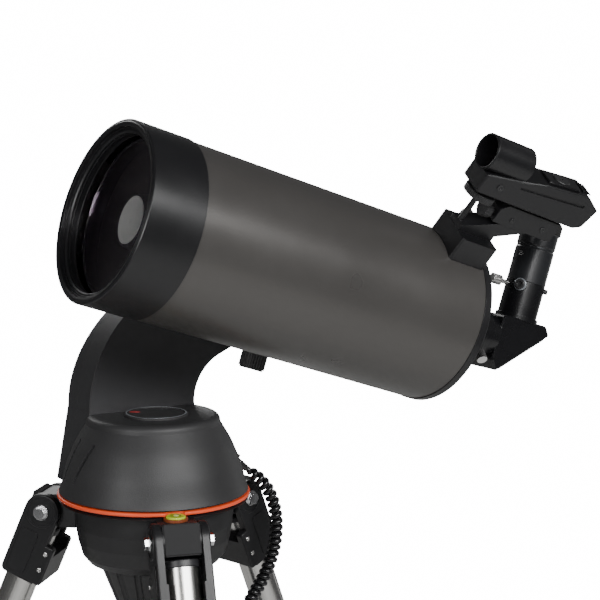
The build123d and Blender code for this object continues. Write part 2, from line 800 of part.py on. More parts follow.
def saddle_knob():
    """Knurled knob under the saddle."""
    with BuildPart() as knob:
        with BuildSketch(saddle_screw_plane(-BAR_W / 2 - 0.4)):
            Circle(4)
        extrude(amount=46)
        with BuildSketch(saddle_screw_plane(-66)):
            Circle(11.5)
            with PolarLocations(11.8, 30):
                Circle(0.8, mode=Mode.SUBTRACT)
        extrude(amount=18)
        with BuildSketch(saddle_screw_plane(-84)):
            Circle(10.2)
        extrude(amount=1.5)
    return knob


# ---------------------------------------------------------------- optical tube
def dovetail_bar():
    """Dovetail bar along the tube's side, in the saddle."""
    half = BAR_W / 2
    with BuildPart() as bar:
        with BuildSketch(tube_plane(120)):
            with BuildLine():
                Polyline(
                    (BAR_LOW, 4 - half),
                    (BAR_LOW, half - 4),
                    (BAR_HIGH - 10, half - 4),
                    (BAR_HIGH, half),
                    (BAR_HIGH, -half),
                    (BAR_HIGH - 10, 4 - half),
                    (BAR_LOW, 4 - half),
                )
            make_face()
        extrude(amount=180)
        with BuildSketch(tube_plane(110)):
            Circle(OTA_R)
        extrude(amount=200, mode=Mode.SUBTRACT)
    return bar


def optical_tube():
    """Rolled metal tube."""
    with BuildPart() as tube:
        with BuildSketch(tube_plane(36.2)):
            Circle(OTA_R)
            Circle(OTA_R - 1.2, mode=Mode.SUBTRACT)
        extrude(amount=OTA_L - 8 - 36.2)
    return tube


def front_cell():
    """Cell that holds the corrector, with a stepped rim and a skirt over the tube."""
    with BuildPart() as cell:
        turned(
            tube_plane(0),
            [(67, 0), (72.2, 0), (CELL_R, 0.8), (CELL_R, CELL_L), (OTA_R + 0.02, CELL_L), (OTA_R + 0.02, 36)]
            + [(61.5, 36), (61.5, 23), (APERTURE_R + 0.05, 22.5), (APERTURE_R + 0.05, 12), (64, 12), (64, 8)]
            + [(65.5, 8), (65.5, 3), (67, 3)],
        )
    return cell


def corrector_lens():
    """Full-aperture meniscus, hollow towards the sky."""
    with BuildPart() as lens:
        with BuildSketch(Plane(origin=OTA_FRONT, x_dir=(0, 1, 0), z_dir=(-TUBE_UP))) as section:
            with BuildLine():
                ThreePointArc((0, 20), dished(20, 13.2), (APERTURE_R, 13.2))
                Line((APERTURE_R, 13.2), (APERTURE_R, 22.2))
                ThreePointArc((APERTURE_R, 22.2), dished(30, 22.2), (0, 30))
                Line((0, 30), (0, 20))
            make_face()
        revolve(section.sketch, axis=Axis(OTA_FRONT, TUBE_BACK))
    return lens


def dished(middle, edge):
    """Point half way out on a spherical lens face, from its depths at the middle and the edge."""
    sag = middle - edge
    radius = (APERTURE_R**2 + sag**2) / (2 * sag)
    out = APERTURE_R / 2
    return out, middle - radius + sqrt(radius**2 - out**2)


def primary_mirror():
    """Primary mirror on the carrier sleeve that slides along the baffle tube."""
    with BuildPart() as mirror:
        turned(
            tube_plane(0),
            [(24, 300), (45, 298.2), (66, 296), (66, 308), (24, 312), (24, 318), (BAFFLE_R + RUN, 318)]
            + [(BAFFLE_R + RUN, 285), (24, 285)],
        )
    return mirror


def rear_cell():
    """Rear casting with the baffle tube and the threaded port."""
    end = OTA_L
    with BuildPart() as cell:
        turned(
            tube_plane(0),
            [(72.6, 322), (72.6, end - 1.5), (71.1, end), (17.5, end), (17.5, 190)]
            + [(BAFFLE_R, 190), (BAFFLE_R, end - 4)]
            + [(68.7, end - 4), (68.7, 308), (70.7, 308), (70.7, 322)],
        )
        with BuildSketch(focus_plane(310)):
            Circle(3 + RUN)
        extrude(amount=40, mode=Mode.SUBTRACT)
    return cell


def focus_plane(s):
    """Plane square to the focus knob's axis."""
    base = tube_plane(s)
    return Plane(origin=base.origin + Vector(0, 34, 0) - TUBE_UP * 22, x_dir=base.x_dir, z_dir=base.z_dir)


def focus_knob():
    """Focus knob behind the rear cell."""
    with BuildPart() as knob:
        with BuildSketch(focus_plane(322)):
            Circle(3)
        extrude(amount=14)
        with BuildSketch(focus_plane(332)):
            Circle(12)
            with PolarLocations(12.4, 24):
                Circle(0.9, mode=Mode.SUBTRACT)
        extrude(amount=18)
        with BuildSketch(focus_plane(350)):
            Circle(10.8)
        extrude(amount=1.5)
    return knob


# ---------------------------------------------------------------- visual back, diagonal and eyepiece
def back_screw_plane(reach):
    """Plane square to the visual back's clamp screw, out from the optical axis."""
    aside = (Vector(0, -1, 0) - TUBE_UP) * sqrt(0.5)
    base = tube_plane(372)
    return Plane(origin=base.origin + aside * reach, x_dir=TUBE_BACK, z_dir=aside)


def visual_back():
    """Adapter on the rear port with a bore for the diagonal."""
    with BuildPart() as back:
        turned(
            tube_plane(0),
            [(NOSE_R + 0.075, 330), (25, 330), (25, 338), (21, 340), (21, 379), (20, 380)]
            + [(NOSE_R + 0.075, 380)],
        )
        with BuildSketch(back_screw_plane(0)):
            Circle(2 + RUN)
        extrude(amount=30, mode=Mode.SUBTRACT)
    return back


def thumbscrew(plane, start, length, head_r, head_l):
    """Screw along the plane's z axis with a knurled head."""
    with BuildPart() as screw:
        with BuildSketch(plane.offset(start)):
            Circle(2)
        extrude(amount=length + 1)
        with BuildSketch(plane.offset(start + length)):
            Circle(head_r)
            with PolarLocations(head_r + 0.2, 20):
                Circle(0.45, mode=Mode.SUBTRACT)
        extrude(amount=head_l)
    return screw


def back_screw():
    return thumbscrew(back_screw_plane(0), NOSE_R + 0.3, 8.5, 4.6, 9)


def eye_plane(h):
    """Plane square to the eyepiece axis, height above the optical axis."""
    base = tube_plane(EYE_S)
    return Plane(origin=base.origin + TUBE_UP * h, x_dir=(0, 1, 0), z_dir=TUBE_UP)


def diagonal():
    """Star diagonal: nosepiece, mirror housing and eyepiece holder."""
    bore = NOSE_R + 0.075
    with BuildPart() as body:
        with BuildSketch(tube_side(17.5)):
            with BuildLine():
                Polyline(
                    (388, 19), (393, 20.5), (438, 21.5), (444, 14), (394.5, -29.5), (388, -20), close=True
                )
            make_face()
        extrude(amount=35)
        chamfer(body.edges().filter_by(GeomType.LINE), 1.2)
        with BuildSketch(tube_plane(380.3)):
            Circle(19)
        extrude(amount=9)
        with BuildSketch(tube_plane(352)):
            Circle(NOSE_R)
        extrude(amount=38)
        with BuildSketch(tube_plane(350)):
            Circle(13.5)
        extrude(amount=50, mode=Mode.SUBTRACT)
        with BuildSketch(eye_plane(15)):
            Circle(17.5)
        extrude(amount=39)
        with BuildSketch(eye_plane(20)):
            Circle(19)
        extrude(amount=4)
        with BuildSketch(eye_plane(2)):
            Circle(13.5)
        extrude(amount=60, mode=Mode.SUBTRACT)
        with BuildSketch(eye_plane(24)):
            Circle(bore)
        extrude(amount=40, mode=Mode.SUBTRACT)
        with BuildSketch(eye_screw_plane()):
            Circle(2 + RUN)
        extrude(amount=30, mode=Mode.SUBTRACT)
    return body


def eye_screw_plane():
    """Plane square to the eyepiece holder's clamp screw."""
    base = eye_plane(49.5)
    aside = -TUBE_BACK * cos(radians(10)) + Vector(0, 1, 0) * sin(radians(10))
    return Plane(origin=base.origin, x_dir=TUBE_UP, z_dir=aside)


def eyepiece_screw():
    return thumbscrew(eye_screw_plane(), NOSE_R + 0.3, 9.5, 4.6, 9)


def eyepiece():
    """Eyepiece with a folded rubber eyecup."""
    with BuildPart() as optic:
        turned(
            eye_plane(0),
            [(12.5, 28), (NOSE_R, 28), (NOSE_R, 54.3), (17.3, 54.3), (17.3, 84), (16.6, 85), (16.6, 87)]
            + [(17.3, 88), (17.3, 100), (18.2, 101), (18.2, 110), (16.8, 112), (14.5, 112), (13, 104)]
            + [(9, 102), (9, 96), (0, 95)]
            + [(0, 40), (12.5, 40)],
        )
    return optic


# ---------------------------------------------------------------- finder
FINDER_SCREW_S = 317.0
WHEEL_AZ_S = 287.0


def finder_bracket():
    """Shoe on the tube, strut and mounting block of the finder."""
    with BuildPart() as bracket:
        with BuildSketch(finder_plane(66)):
            with Locations((302.7, 0)):
                RectangleRounded(37.4, 44, 3)
        extrude(amount=24)
        with BuildSketch(tube_plane(260)):
            Circle(OTA_R)
        extrude(amount=100, mode=Mode.SUBTRACT)
        with BuildSketch(finder_side(9)):
            with BuildLine():
                Polyline(
                    (284.2, 88), (284.2, 95), (291, 97), (319, 108.5), (347, 108.5), (320, 95), (320, 88),
                    close=True,
                )
            make_face()
        extrude(amount=18)
        with BuildSketch(finder_side(9.5)):
            with BuildLine():
                Polyline((308, 108), (308, 120), (314, 126), (372, 126), (372, 108), close=True)
            make_face()
        extrude(amount=19)
        with BuildSketch(finder_plane(120)):
            with Locations((360, 0)):
                Rectangle(14, 10)
        extrude(amount=8.7)
        with BuildSketch(finder_plane(91)):
            with Locations((WHEEL_AZ_S, 0)):
                Circle(2.5)
        extrude(amount=35.6)
        with BuildSketch(finder_screw_plane(0)):
            Circle(2 + RUN)
        extrude(amount=40, mode=Mode.SUBTRACT)
    return bracket


def finder_screw_plane(reach):
    """Plane square to the finder shoe's clamp screw, on its upper side."""
    base = finder_plane(86)
    origin = base.origin + base.x_dir * FINDER_SCREW_S + base.y_dir * reach
    return Plane(origin=origin, x_dir=TUBE_BACK, z_dir=base.y_dir)


def finder_screw():
    return thumbscrew(finder_screw_plane(0), 12, 13, 6.2, 10)


def finder_wheel_az():
    """Flat thumbwheel that turns the finder sideways."""
    with BuildPart() as wheel:
        with BuildSketch(finder_plane(121)):
            with Locations((WHEEL_AZ_S, 0)):
                Circle(14)
                with PolarLocations(14.3, 40):
                    Circle(0.8, mode=Mode.SUBTRACT)
                Circle(2.5 + RUN, mode=Mode.SUBTRACT)
        extrude(amount=5.6)
    return wheel


def finder_wheel_alt():
    """Small ribbed wheel that tips the finder."""
    with BuildPart() as wheel:
        with BuildSketch(finder_wheel_plane()):
            Circle(7.6)
            with PolarLocations(7.8, 18):
                Circle(0.7, mode=Mode.SUBTRACT)
        extrude(amount=7)
        with BuildSketch(finder_wheel_plane()):
            Circle(3)
        extrude(amount=9.7)
    return wheel


def finder_wheel_plane():
    """Plane of the tipping wheel, its axis along the tube."""
    base = finder_plane(113)
    return Plane(origin=base.origin + base.x_dir * 298, x_dir=base.y_dir, z_dir=base.x_dir)


SIGHT_N = 160.0  # axis of the sight ring, out from the optical axis


def sight_plane(s):
    """Plane square to the finder's line of sight."""
    base = finder_plane(SIGHT_N)
    return Plane(origin=base.origin + base.x_dir * s, x_dir=base.y_dir, z_dir=base.x_dir)


def finder_body():
    """Red-dot finder: body with a ridge and the open sight ring at its front."""
    with BuildPart() as body:
        with BuildSketch(finder_side(14)):
            with BuildLine():
                Polyline(
                    (272, 129), (272, 147), (306, 152), (330, 157), (375, 160.6), (391.5, 151.5),
                    (387.4, 132.7), (380, 129), close=True,
                )
            make_face()
        extrude(amount=28)
        chamfer(body.edges(), 1)
        with BuildSketch(sight_plane(268)):
            Circle(15)
        extrude(amount=40)
        with BuildSketch(sight_plane(260)):
            Circle(13.2)
        extrude(amount=50, mode=Mode.SUBTRACT)
        for side in (-1, 1):
            with BuildSketch(finder_side(14 * side)):
                with Locations((342, 148.6)):
                    Rectangle(68, 2.4, rotation=4)
            extrude(amount=1.2 * side, mode=Mode.SUBTRACT)
    return body


def finder_dial():
    """Brightness dial on the finder's far side."""
    with BuildPart() as dial:
        with BuildSketch(finder_side(14.3)):
            with Locations((368, 141)):
                Circle(7.5)
                with PolarLocations(7.7, 18):
                    Circle(0.7, mode=Mode.SUBTRACT)
        extrude(amount=-5)
    return dial


# ---------------------------------------------------------------- hand control
HAND_ANGLE = -45.0
HAND_TOP, HAND_LOW = RING_Z - 120, RING_Z - 250
HAND_R = (22.0, 48.0)  # back and front of the hand control, out from the azimuth axis
CORD_END = HAND_LOW - 9.0


def hand_plane(z, reach=0.0):
    """Plane beside the column: x across the hand control, y up, z outward."""
    a = radians(HAND_ANGLE)
    out = Vector(cos(a), sin(a), 0)
    return Plane(origin=out * reach + Vector(0, 0, z), x_dir=(-sin(a), cos(a), 0), z_dir=out)


def hand_holder():
    """Holder: a clip round the column and a cradle for the hand control."""
    with BuildPart() as holder:
        with BuildSketch(Plane.XY.offset(RING_Z - 205)):
            Circle(15)
            Circle(COLUMN_R, mode=Mode.SUBTRACT)
        extrude(amount=30)
        with BuildSketch(hand_plane(RING_Z - 190, 14)):
            Rectangle(46, 30)
        extrude(amount=HAND_R[0] - 14.3)
        for side in (-1, 1):
            with BuildSketch(hand_plane(RING_Z - 190, 14)):
                with Locations((side * 30.6, 0)):
                    Rectangle(3, 30)
            extrude(amount=24)
            with BuildSketch(hand_plane(RING_Z - 190, 14)):
                with Locations((side * 26, 0)):
                    Rectangle(12, 30)
            extrude(amount=HAND_R[0] - 14.3)
    return holder


def hand_control():
    """Hand control body."""
    middle = (HAND_TOP + HAND_LOW) / 2
    half = (HAND_TOP - HAND_LOW) / 2
    with BuildPart() as control:
        with BuildSketch(hand_plane(middle, HAND_R[0])):
            with BuildLine():
                Polyline(
                    (-31, half), (31, half), (31, half - 28), (28.6, half - 45), (28.6, -half + 30),
                    (22, -half), (-22, -half), (-28.6, -half + 30), (-28.6, half - 45), (-31, half - 28),
                    close=True,
                )
            make_face()
        extrude(amount=HAND_R[1] - HAND_R[0])
        fillet(control.edges().filter_by(Axis(hand_plane(0).origin, hand_plane(0).z_dir)), 5)
        front = control.faces().sort_by(Axis(hand_plane(0).origin, hand_plane(0).z_dir))
        fillet(front[-1].edges() + front[0].edges(), 2)
        with BuildSketch(hand_plane(HAND_TOP - 24, HAND_R[1])):
            RectangleRounded(46, 22, 2)
        extrude(amount=-1, mode=Mode.SUBTRACT)
        for x, y in key_places():
            with BuildSketch(hand_plane(middle, HAND_R[1])):
                with Locations((x, y)):
                    RectangleRounded(10.6, 7.6, 1.8)
            extrude(amount=-3.5, mode=Mode.SUBTRACT)
        centre = Vector(*hand_plane(0, sum(HAND_R) / 2).origin)
        with BuildSketch(Plane(origin=(centre.X, centre.Y, CORD_END), z_dir=(0, 0, 1))):
            Circle(3.4)
        with BuildSketch(Plane(origin=(centre.X, centre.Y, HAND_LOW + 1), z_dir=(0, 0, 1))):
            Circle(5.5)
        loft()
    return control


def key_places():
    """Key centres on the hand control: a cross of direction keys and a number pad below."""
    cross = [(0, 22), (-14, 12), (14, 12), (0, 2)]
    pad = [(x, y) for y in (-12, -22.5, -33, -43.5) for x in (-14, 0, 14)]
    return cross + pad


def hand_keys():
    """All the keys of the hand control."""
    middle = (HAND_TOP + HAND_LOW) / 2
    with BuildPart() as keys:
        for x, y in key_places():
            with BuildSketch(hand_plane(middle, HAND_R[1] - 2.2)):
                with Locations((x, y)):
                    RectangleRounded(10, 7, 1.5)
            extrude(amount=3.8)
    return keys


# ---------------------------------------------------------------- curly cord
CORD_R = 6.0  # outside of the coil
SAG_R = 42.5  # radius of the polygon that the cord's lowest bend is drawn round


def cord_route():
    """Points of the coil's centre line, from the plug on the dome to the hand control."""
    upper = [CORD_START, CORD_NEXT]
    for x, y, z in ((106.2, -16.6, -15), (108.4, -21.5, -37.6), (102.8, -25.2, -61), (91.2, -28.1, -81.9)):
        upper.append(Vector(x, y, RING_Z + z))
    upper.append(Vector(74.4, -30.4, RING_Z - 100.5))
    hanging = ((66, 9, -128), (60, -19, -156), (55.5, -45, -186), (52.6, -68.5, -217), (51.2, -81.8, -249))
    lower = [hand_point(r, t, z) for r, t, z in hanging]
    centre_r, centre_t, centre_z = 43.0, -41.5, CORD_END - RING_Z - 10.8
    reach = SAG_R / cos(radians(15))
    for angle in (15, 45, 75, 105, 135, 165):
        a = radians(angle)
        r = centre_r + 8 * cos(a) * reach / SAG_R
        t = centre_t - 41.5 * cos(a) * reach / SAG_R
        lower.append(hand_point(r, t, centre_z - sin(a) * reach))
    lower.append(hand_point(sum(HAND_R) / 2, 0, CORD_END - RING_Z))
    return upper + lower


def hand_point(r, t, z):
    """Point beside the column: out along the hand control, across it, height from the ring."""
    plane = hand_plane(RING_Z + z, r)
    return plane.origin + plane.x_dir * t


def curly_cord():
    """Coiled cord as one round body of the coil's outside diameter."""
    points = cord_route()
    radii = []
    for before, here, after in zip(points, points[1:], points[2:]):
        turn = acos((here - before).normalized().dot((after - here).normalized()))
        radii.append(0.45 * min((here - before).length, (after - here).length) / tan(turn / 2))
    print("cord bend radii in diameters:", [round(radius / (2 * CORD_R), 1) for radius in radii])
    with BuildPart() as cord:
        with BuildLine() as route:
            FilletPolyline(*points, radius=radii)
        with BuildSketch(Plane(origin=points[0], z_dir=points[1] - points[0])):
            Circle(CORD_R)
        sweep(path=route.line)
    length = sum(edge.length for edge in route.edges())
    share = cord.part.volume / (pi * CORD_R**2 * length)
    print("cord length:", round(length, 1), "volume share:", round(share, 4))
    return cord


# ---------------------------------------------------------------- all sub-parts
SINGLE = (
    tripod_head, base_ring, bubble_level, azimuth_gear, centre_column, hinge_bolts, accessory_tray,
    dome, battery_cover, battery_pack, control_board, turntable, gear_motors, power_switch, cord_plug,
    fork_arm, arm_cover, altitude_shaft, saddle, saddle_knob, dovetail_bar, optical_tube, front_cell,
    corrector_lens, primary_mirror, rear_cell, focus_knob, visual_back, back_screw, diagonal,
    eyepiece_screw, eyepiece, finder_bracket, finder_screw, finder_wheel_az, finder_wheel_alt,
    finder_body, finder_dial, hand_holder, hand_control, hand_keys, curly_cord,
)
PER_LEG = (leg_bracket, leg_tube, leg_collar, leg_extension, collar_knob, brace_arm)

for build in SINGLE:
    save(build(), build.__name__)
for build in PER_LEG:
    for leg in range(3):
        save(build(leg), f"{build.__name__}_{leg + 1}")
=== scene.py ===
"""Maksutov telescope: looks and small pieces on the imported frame."""
import json
from math import cos, pi, radians, sin

import bmesh
import bpy
from mathutils import Matrix, Vector


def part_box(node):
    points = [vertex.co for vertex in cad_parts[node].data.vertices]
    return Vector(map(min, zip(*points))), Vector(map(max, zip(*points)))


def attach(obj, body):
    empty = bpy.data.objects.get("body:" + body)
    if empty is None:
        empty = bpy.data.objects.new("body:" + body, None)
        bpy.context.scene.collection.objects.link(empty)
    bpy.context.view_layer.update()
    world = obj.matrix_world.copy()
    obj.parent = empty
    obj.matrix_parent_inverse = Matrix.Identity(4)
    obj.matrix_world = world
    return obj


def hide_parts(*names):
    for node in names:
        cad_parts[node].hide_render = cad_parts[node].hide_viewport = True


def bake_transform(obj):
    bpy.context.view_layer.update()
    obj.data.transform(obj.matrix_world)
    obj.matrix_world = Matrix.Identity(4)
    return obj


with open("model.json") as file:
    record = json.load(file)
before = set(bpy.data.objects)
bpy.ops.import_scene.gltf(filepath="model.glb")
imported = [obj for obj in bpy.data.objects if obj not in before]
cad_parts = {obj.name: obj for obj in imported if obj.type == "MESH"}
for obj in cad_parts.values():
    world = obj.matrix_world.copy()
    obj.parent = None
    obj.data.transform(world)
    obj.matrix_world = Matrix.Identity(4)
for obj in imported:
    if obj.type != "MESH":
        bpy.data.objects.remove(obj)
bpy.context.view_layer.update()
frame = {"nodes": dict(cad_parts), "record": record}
RECORD = frame["record"]
JOINTS = {joint["name"]: joint for joint in RECORD["behaviour"]["joints"]}


# ---------------------------------------------------------------- places taken from the frame
def joint_place(name):
    return Vector(JOINTS[name]["pos_m"])


def joint_axis(name):
    return Vector(JOINTS[name]["axis"]).normalized()


RING_Z = JOINTS["azimuth"]["pos_m"][2]  # height of the base ring
BACK = joint_axis("tube_slide")  # along the tube, towards the eyepiece
UP = joint_axis("eyepiece_out")  # square to the tube, along the eyepiece
SIDE = Vector((0, 1, 0))
REAR = joint_place("diagonal_turn")  # on the optical axis
REAR_S = 0.370  # REAR behind the tube's front face
EYE_S = 0.416  # eyepiece axis behind the tube's front face
FRONT = REAR - BACK * REAR_S  # middle of the tube's front face
FINDER_UP = joint_axis("finder_sideways")
FINDER_ACROSS = -joint_axis("finder_tip")
OUT = -joint_axis("key_press")  # hand control's face


def frame_at(origin, x, z):
    """Matrix of a frame at origin with the given x and z directions."""
    z = z.normalized()
    x = (x - z * x.dot(z)).normalized()
    y = z.cross(x)
    return Matrix.Translation(origin) @ Matrix((x, y, z)).transposed().to_4x4()


def tube_frame(s):
    """Frame on the optical axis: x along +Y, y up, z to the rear, s metres behind the front face."""
    return frame_at(FRONT + BACK * s, SIDE, BACK)


# ---------------------------------------------------------------- camera
def add_camera():
    """Camera at the photograph's viewing angle."""
    towards = Vector((-0.527, -0.8396, 0.1312)).normalized()
    azimuth, roll = radians(32.12), radians(0.29)
    flat_right = Vector((cos(azimuth), -sin(azimuth), 0))
    flat_up = towards.cross(flat_right)
    right = flat_right * cos(roll) + flat_up * sin(roll)
    data = bpy.data.cameras.new("camera")
    data.sensor_width = 36
    data.lens = 100.6
    camera = bpy.data.objects.new("camera", data)
    camera.matrix_world = frame_at(Vector((-0.6269, -1.2277, RING_Z + 0.3436)), right, towards)
    bpy.context.collection.objects.link(camera)
    bpy.context.scene.camera = camera


add_camera()


# ---------------------------------------------------------------- mesh helpers
def link(mesh, name, material=None, smooth=True):
    obj = bpy.data.objects.new(name, mesh)
    bpy.context.collection.objects.link(obj)
    if smooth:
        mesh.shade_smooth()
    if material:
        mesh.materials.append(material)
    return obj


def lathe(name, outline, place, material, body, segments=96, closed=True):
    """Solid of revolution about the place's z axis from (radius, height) points in metres."""
    mesh = bpy.data.meshes.new(name)
    bm = bmesh.new()
    rings = []
    for k in range(segments):
        a = 2 * pi * k / segments
        rings.append([bm.verts.new((r * cos(a), r * sin(a), z)) for r, z in outline])
    count = len(outline)
    for k in range(segments):
        here, after = rings[k], rings[(k + 1) % segments]
        for i in range(count if closed else count - 1):
            j = (i + 1) % count
            bm.faces.new((here[i], after[i], after[j], here[j]))
    bmesh.ops.remove_doubles(bm, verts=bm.verts, dist=1e-7)
    bmesh.ops.recalc_face_normals(bm, faces=bm.faces)
    bm.transform(place)
    bm.to_mesh(mesh)
    bm.free()
    obj = link(mesh, name, material)
    mark_sharp(mesh)
    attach(obj, body)
    return obj


def mark_sharp(mesh, angle=radians(32)):
    """Smooth shading that keeps edges above the given angle crisp."""
    bm = bmesh.new()
    bm.from_mesh(mesh)
    for edge in bm.edges:
        if len(edge.link_faces) == 2 and edge.calc_face_angle(0) > angle:
            edge.smooth = False
    bm.to_mesh(mesh)
    bm.free()


def prism(name, outline, place, depth, material, body, bevel=0.0006):
    """Outline (x, y) drawn on the place's plane and raised along its z by depth, with bevelled edges."""
    mesh = bpy.data.meshes.new(name)
    bm = bmesh.new()
    low = [bm.verts.new((x, y, 0)) for x, y in outline]
    high = [bm.verts.new((x, y, depth)) for x, y in outline]
    bm.faces.new(low[::-1])
    bm.faces.new(high)
    for i in range(len(outline)):
        j = (i + 1) % len(outline)
        bm.faces.new((low[i], low[j], high[j], high[i]))
    bmesh.ops.recalc_face_normals(bm, faces=bm.faces)
    if bevel:
        sharp = [e for e in bm.edges if e.calc_face_angle(0) > radians(30)]
        bmesh.ops.bevel(bm, geom=sharp, offset=bevel, segments=2, affect="EDGES", clamp_overlap=True)
    bm.transform(place)
    bm.to_mesh(mesh)
    bm.free()
    obj = link(mesh, name, material)
    mark_sharp(mesh)
    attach(obj, body)
    return obj


# ---------------------------------------------------------------- materials
def nodes_of(name):
    material = bpy.data.materials.new(name)
    material.use_nodes = True
    tree = material.node_tree
    return material, tree, tree.nodes["Principled BSDF"]


def coordinates(tree, scale):
    """Object coordinates through a mapping of the given scale."""
    source = tree.nodes.new("ShaderNodeTexCoord")
    mapping = tree.nodes.new("ShaderNodeMapping")
    mapping.inputs["Scale"].default_value = scale
    tree.links.new(source.outputs["Object"], mapping.inputs["Vector"])
    return mapping.outputs["Vector"]


def noise(tree, vector, scale, detail=3.0, roughness=0.55):
    node = tree.nodes.new("ShaderNodeTexNoise")
    node.inputs["Scale"].default_value = scale
    node.inputs["Detail"].default_value = detail
    node.inputs["Roughness"].default_value = roughness
    tree.links.new(vector, node.inputs["Vector"])
    return node.outputs["Fac"]


def spread(tree, value, low, high):
    """Maps a 0.3 to 0.7 texture value to low to high."""
    node = tree.nodes.new("ShaderNodeMapRange")
    node.inputs["From Min"].default_value = 0.3
    node.inputs["From Max"].default_value = 0.7
    node.inputs["To Min"].default_value = low
    node.inputs["To Max"].default_value = high
    tree.links.new(value, node.inputs["Value"])
    return node.outputs["Result"]


def tinted(tree, value, dark, light):
    """Colour between dark and light by a 0.3 to 0.7 texture value."""
    ramp = tree.nodes.new("ShaderNodeValToRGB")
    ramp.color_ramp.elements[0].position = 0.3
    ramp.color_ramp.elements[0].color = (*dark, 1)
    ramp.color_ramp.elements[1].position = 0.7
    ramp.color_ramp.elements[1].color = (*light, 1)
    tree.links.new(value, ramp.inputs["Fac"])
    return ramp.outputs["Color"]


def bumped(tree, shader, value, strength, distance, edge=0.0005):
    """Grain in the normals, over edges that catch the light as if rounded by the given radius."""
    bump = tree.nodes.new("ShaderNodeBump")
    bevel = tree.nodes.new("ShaderNodeBevel")
    bevel.samples = 4
    bevel.inputs["Radius"].default_value = edge
    tree.links.new(bevel.outputs["Normal"], bump.inputs["Normal"])
    bump.inputs["Strength"].default_value = strength
    bump.inputs["Distance"].default_value = distance
    tree.links.new(value, bump.inputs["Height"])
    tree.links.new(bump.outputs["Normal"], shader.inputs["Normal"])


def shades(colour, amount):
    """Slightly darker and lighter versions of a colour."""
    return tuple(c * (1 - amount) for c in colour), tuple(c * (1 + amount) for c in colour)


def surface(name, colour, rough, grain, bump, vary=0.1, metallic=0.0, specular=0.5):
    """General surface: mottled colour and roughness at hand scale, fine grain in the bump."""
    material, tree, shader = nodes_of(name)
    vector = coordinates(tree, (1, 1, 1))
    broad = noise(tree, vector, 14.0)
    fine = noise(tree, vector, grain, 2.0)
    tree.links.new(tinted(tree, broad, *shades(colour, vary)), shader.inputs["Base Color"])
    tree.links.new(spread(tree, broad, rough - 0.05, rough + 0.06), shader.inputs["Roughness"])
    shader.inputs["Metallic"].default_value = metallic
    shader.inputs["Specular IOR Level"].default_value = specular
    if bump:
        bumped(tree, shader, fine, bump, 0.0004)
    return material


def brushed(name, colour, rough, along):
    """Drawn or brushed metal with streaks along one direction."""
    stretch = tuple(0.03 if axis == along else 1.0 for axis in "xyz")
    material, tree, shader = nodes_of(name)
    vector = coordinates(tree, stretch)
    streak = noise(tree, vector, 420.0, 4.0, 0.7)
    broad = noise(tree, coordinates(tree, (1, 1, 1)), 9.0)
    tree.links.new(tinted(tree, streak, *shades(colour, 0.12)), shader.inputs["Base Color"])
    tree.links.new(spread(tree, broad, rough - 0.04, rough + 0.06), shader.inputs["Roughness"])
    shader.inputs["Metallic"].default_value = 1.0
    bumped(tree, shader, streak, 0.08, 0.0003)
    return material


def drawn_tube(name, colour, rough, axis):
    """Bright drawn tube with fine lines down its length, for a tube along the given direction."""
    material, tree, shader = nodes_of(name)
    source = tree.nodes.new("ShaderNodeTexCoord")
    turn = tree.nodes.new("ShaderNodeMapping")
    turn.inputs["Rotation"].default_value = axis.to_track_quat("Z", "Y").inverted().to_euler()
    squeeze = tree.nodes.new("ShaderNodeMapping")
    squeeze.inputs["Scale"].default_value = (1, 1, 0.012)
    tree.links.new(source.outputs["Object"], turn.inputs["Vector"])
    tree.links.new(turn.outputs["Vector"], squeeze.inputs["Vector"])
    streak = noise(tree, squeeze.outputs["Vector"], 700.0, 4.0, 0.7)
    broad = noise(tree, source.outputs["Object"], 6.0)
    tree.links.new(tinted(tree, streak, *shades(colour, 0.1)), shader.inputs["Base Color"])
    tree.links.new(spread(tree, broad, rough - 0.03, rough + 0.05), shader.inputs["Roughness"])
    shader.inputs["Metallic"].default_value = 1.0
    bumped(tree, shader, streak, 0.06, 0.0003)
    return material


def lens_coating(name):
    """Coated optical glass, faintly purple in reflection."""
    material, tree, shader = nodes_of(name)
    broad = noise(tree, coordinates(tree, (1, 1, 1)), 7.0)
    tree.links.new(tinted(tree, broad, (0.88, 0.85, 0.88), (0.93, 0.90, 0.93)), shader.inputs["Base Color"])
    tree.links.new(spread(tree, broad, 0.015, 0.035), shader.inputs["Roughness"])
    shader.inputs["Transmission Weight"].default_value = 1.0
    shader.inputs["IOR"].default_value = 1.3
    shader.inputs["Specular Tint"].default_value = (0.5, 0.22, 0.55, 1)
    shader.inputs["Alpha"].default_value = 1.0
    return material


def knurled_metal(name, colour, rough):
    material, tree, shader = nodes_of(name)
    broad = noise(tree, coordinates(tree, (1, 1, 1)), 60.0)
    fine = noise(tree, coordinates(tree, (1, 1, 1)), 1500.0)
    tree.links.new(tinted(tree, broad, *shades(colour, 0.08)), shader.inputs["Base Color"])
    tree.links.new(spread(tree, broad, rough - 0.04, rough + 0.08), shader.inputs["Roughness"])
    shader.inputs["Metallic"].default_value = 1.0
    bumped(tree, shader, fine, 0.05, 0.0002)
    return material


